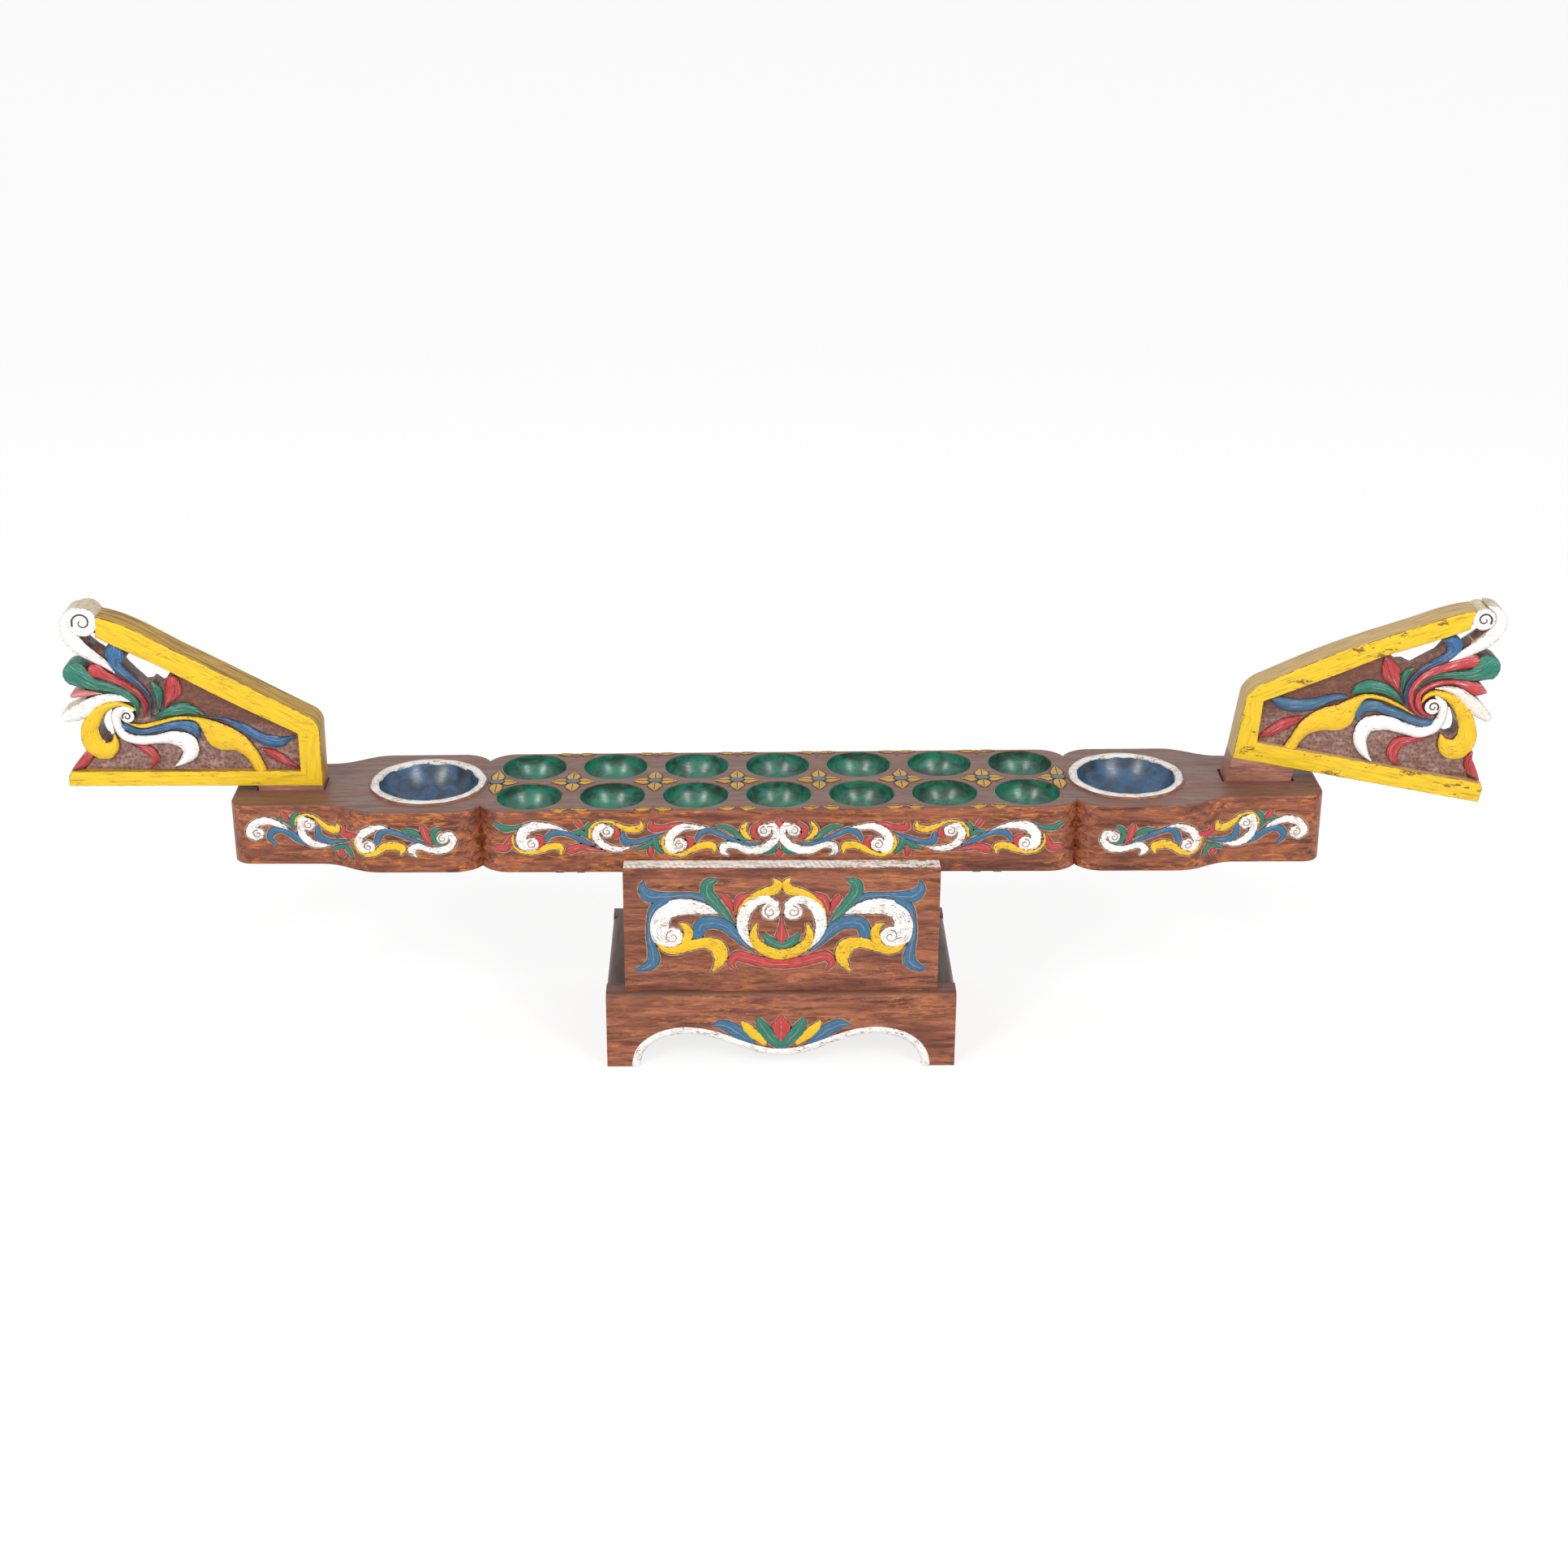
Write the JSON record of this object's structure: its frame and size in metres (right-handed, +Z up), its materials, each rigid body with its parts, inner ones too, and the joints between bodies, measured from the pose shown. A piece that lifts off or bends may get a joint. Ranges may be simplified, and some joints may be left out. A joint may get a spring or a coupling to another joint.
{
  "type": "sungka board",
  "caption": "Wooden mancala board with two rows of round pits, a large store pit at each end, pierced carved upright wings in its tails and a box stand that cradles it.",
  "frame": {"origin": "on the table, under the middle of the stand", "axes": "+X along the board to the right as pictured, +Y across the board away from the pictured side, +Z up"},
  "size_m": [1.0792, 0.154, 0.3481],
  "materials": {
    "board_wood": "dark stained and varnished, with painted carving, worn",
    "wing_wood": "painted relief carving, worn",
    "stand_wood": "reddish brown mottled varnish, with painted carving, worn",
    "raw_wood": "unfinished"
  },
  "bodies": {
    "stand": {"cradle_front_panel": "stand_wood", "cradle_back_panel": "stand_wood", "cradle_left_rest": "stand_wood", "cradle_right_rest": "stand_wood", "base_front_apron": "stand_wood", "base_back_apron": "stand_wood", "base_left_apron": "stand_wood", "base_right_apron": "stand_wood", "base_top": "stand_wood", "corner_blocks": "raw_wood", "rest_dowels": "raw_wood", "panel_dowels": "raw_wood"},
    "board": {"game_board": "board_wood"},
    "left_wing": {"left_wing": "wing_wood"},
    "right_wing": {"right_wing": "wing_wood"}
  },
  "joints": [
    {"name": "board_lift", "type": "slide", "parent": "stand", "child": "board", "axis": [0, 0, 1], "range_m": [0, 0.15]},
    {"name": "left_wing_lift", "type": "slide", "parent": "board", "child": "left_wing", "axis": [0, 0, 1], "range_m": [0, 0.06]},
    {"name": "right_wing_lift", "type": "slide", "parent": "board", "child": "right_wing", "axis": [0.1908, 0, 0.9816], "range_m": [0, 0.06]}
  ]
}
